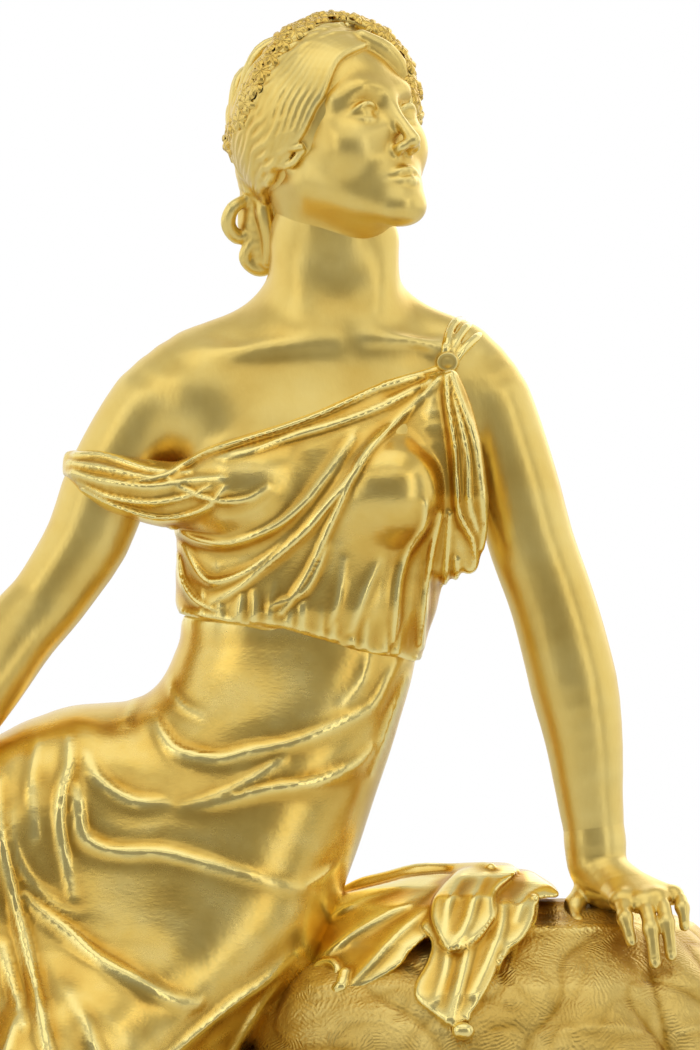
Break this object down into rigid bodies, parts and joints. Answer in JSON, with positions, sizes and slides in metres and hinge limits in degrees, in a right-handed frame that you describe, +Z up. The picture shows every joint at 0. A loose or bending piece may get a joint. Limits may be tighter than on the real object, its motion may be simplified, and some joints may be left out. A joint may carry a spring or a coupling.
{
  "type": "figural clock",
  "caption": "Gilt mantel clock: a draped seated figure leans on a rock that houses a round striking movement with pendulum, bell and glazed doors, on a moulded plinth.",
  "frame": {"origin": "centre of the plinth's footprint, on the surface that the feet stand on", "axes": "+X to the right as seen from the dial side, +Y to the back, +Z up"},
  "size_m": [0.4, 0.176, 0.5442],
  "materials": {
    "gilt_matte": "matte fire-gilt bronze, soft chased sheen",
    "gilt_burnished": "burnished fire-gilt bronze, bright",
    "gilt_chiselled": "fire-gilt bronze, finely chiselled and darkened in the hollows",
    "movement_brass": "polished brass",
    "steel": "bright steel",
    "blued_steel": "blued steel",
    "enamel": "white enamel, glossy",
    "clear_glass": "clear domed glass",
    "bell_bronze": "bell metal, satin"
  },
  "bodies": {
    "clock": {"plinth": "gilt_burnished", "frieze_mount": "gilt_burnished", "toupie_feet": "gilt_burnished", "rock_case": "gilt_chiselled", "rock_bolts": "steel", "upper_body": "gilt_matte", "head": "gilt_matte", "hair": "gilt_matte", "flower_wreath": "gilt_matte", "shoulder_button": "gilt_burnished", "left_arm": "gilt_matte", "right_arm": "gilt_matte", "figure_feet": "gilt_matte", "lower_body": "gilt_matte", "cloak": "gilt_matte", "figure_bolts": "steel", "case_drum": "movement_brass", "front_bezel": "gilt_burnished", "back_bezel": "gilt_burnished", "hinge_pins": "steel", "tie_rods": "steel", "dial": "enamel", "front_plate": "movement_brass", "back_plate": "movement_brass", "plate_screws": "steel", "pillars": "movement_brass", "going_barrel_arbor": "steel", "strike_barrel_arbor": "steel", "mainsprings": "steel", "ratchet_clicks": "steel", "suspension_cock": "movement_brass", "suspension_spring": "steel", "bell": "bell_bronze", "bell_stand": "steel", "bell_nut": "steel"},
    "front_door": {"front_door_frame": "gilt_burnished", "front_glass": "clear_glass"},
    "back_door": {"back_door_frame": "gilt_burnished", "back_glass": "clear_glass"},
    "centre_group": {"centre_wheel": "movement_brass", "cannon_pinion": "movement_brass", "minute_hand": "blued_steel", "hand_collet": "movement_brass"},
    "hour_group": {"hour_wheel": "movement_brass", "hour_hand": "blued_steel"},
    "minute_group": {"minute_wheel": "movement_brass"},
    "going_barrel": {"going_barrel": "movement_brass"},
    "intermediate": {"intermediate_wheel": "movement_brass"},
    "third": {"third_wheel": "movement_brass"},
    "escape": {"escape_wheel": "movement_brass"},
    "anchor_group": {"anchor": "steel"},
    "pendulum": {"pendulum_rod": "steel", "pendulum_bob": "bell_bronze", "rating_nut": "steel"},
    "strike_barrel": {"strike_barrel": "movement_brass"},
    "strike_second": {"strike_second_wheel": "movement_brass", "countwheel": "movement_brass"},
    "pin_group": {"pin_wheel": "movement_brass"},
    "fly_group": {"fly": "movement_brass"},
    "hammer_group": {"hammer": "steel"}
  },
  "joints": [
    {"name": "front_door_hinge", "type": "hinge", "parent": "clock", "child": "front_door", "pos_m": [0.1014, -0.0808, 0.165], "axis": [0, 0, 1], "range_deg": [0, 110]},
    {"name": "back_door_hinge", "type": "hinge", "parent": "clock", "child": "back_door", "pos_m": [0.1014, 0.0708, 0.165], "axis": [0, 0, -1], "range_deg": [0, 110]},
    {"name": "centre_turn", "type": "hinge", "parent": "clock", "child": "centre_group", "pos_m": [0.038, -0.034, 0.165], "axis": [0, 1, 0], "continuous": true},
    {"name": "hour_turn", "type": "hinge", "parent": "clock", "child": "hour_group", "pos_m": [0.038, -0.034, 0.165], "axis": [0, 1, 0], "continuous": true},
    {"name": "minute_wheel_turn", "type": "hinge", "parent": "clock", "child": "minute_group", "pos_m": [0.038, -0.034, 0.1794], "axis": [0, 1, 0], "continuous": true},
    {"name": "going_barrel_turn", "type": "hinge", "parent": "clock", "child": "going_barrel", "pos_m": [0.05612, -0.034, 0.15084], "axis": [0, 1, 0], "continuous": true},
    {"name": "intermediate_turn", "type": "hinge", "parent": "clock", "child": "intermediate", "pos_m": [0.05486, -0.034, 0.1697], "axis": [0, 1, 0], "continuous": true},
    {"name": "third_turn", "type": "hinge", "parent": "clock", "child": "third", "pos_m": [0.02836, -0.034, 0.17876], "axis": [0, 1, 0], "continuous": true},
    {"name": "escape_turn", "type": "hinge", "parent": "clock", "child": "escape", "pos_m": [0.038, -0.034, 0.18749], "axis": [0, 1, 0], "continuous": true},
    {"name": "anchor_rock", "type": "hinge", "parent": "clock", "child": "anchor_group", "pos_m": [0.038, -0.0295, 0.19849], "axis": [0, 1, 0], "range_deg": [-4, 4]},
    {"name": "pendulum_swing", "type": "hinge", "parent": "clock", "child": "pendulum", "pos_m": [0.038, 0.001, 0.19849], "axis": [0, 1, 0], "range_deg": [-4, 4]},
    {"name": "strike_barrel_turn", "type": "hinge", "parent": "clock", "child": "strike_barrel", "pos_m": [0.01988, -0.034, 0.15084], "axis": [0, 1, 0], "continuous": true},
    {"name": "strike_second_turn", "type": "hinge", "parent": "clock", "child": "strike_second", "pos_m": [0.01147, -0.034, 0.16777], "axis": [0, 1, 0], "continuous": true},
    {"name": "pin_wheel_turn", "type": "hinge", "parent": "clock", "child": "pin_group", "pos_m": [0.01544, -0.034, 0.18161], "axis": [0, 1, 0], "continuous": true},
    {"name": "fly_turn", "type": "hinge", "parent": "clock", "child": "fly_group", "pos_m": [0.02082, -0.034, 0.19092], "axis": [0, 1, 0], "continuous": true},
    {"name": "hammer_lift", "type": "hinge", "parent": "clock", "child": "hammer_group", "pos_m": [0.00145, -0.01, 0.1783], "axis": [0, 1, 0], "range_deg": [0, 12]}
  ],
  "couplings": [
    {"joint": "hour_turn", "follows": "centre_turn", "ratio": 0.083333},
    {"joint": "minute_wheel_turn", "follows": "centre_turn", "ratio": -0.33333},
    {"joint": "going_barrel_turn", "follows": "centre_turn", "ratio": 0.056818},
    {"joint": "intermediate_turn", "follows": "centre_turn", "ratio": -0.25},
    {"joint": "third_turn", "follows": "centre_turn", "ratio": -6},
    {"joint": "escape_turn", "follows": "centre_turn", "ratio": 33},
    {"joint": "pendulum_swing", "follows": "anchor_rock", "ratio": 1},
    {"joint": "strike_barrel_turn", "follows": "strike_second_turn", "ratio": -0.22727},
    {"joint": "pin_wheel_turn", "follows": "strike_second_turn", "ratio": -5},
    {"joint": "fly_turn", "follows": "strike_second_turn", "ratio": 25.714}
  ]
}
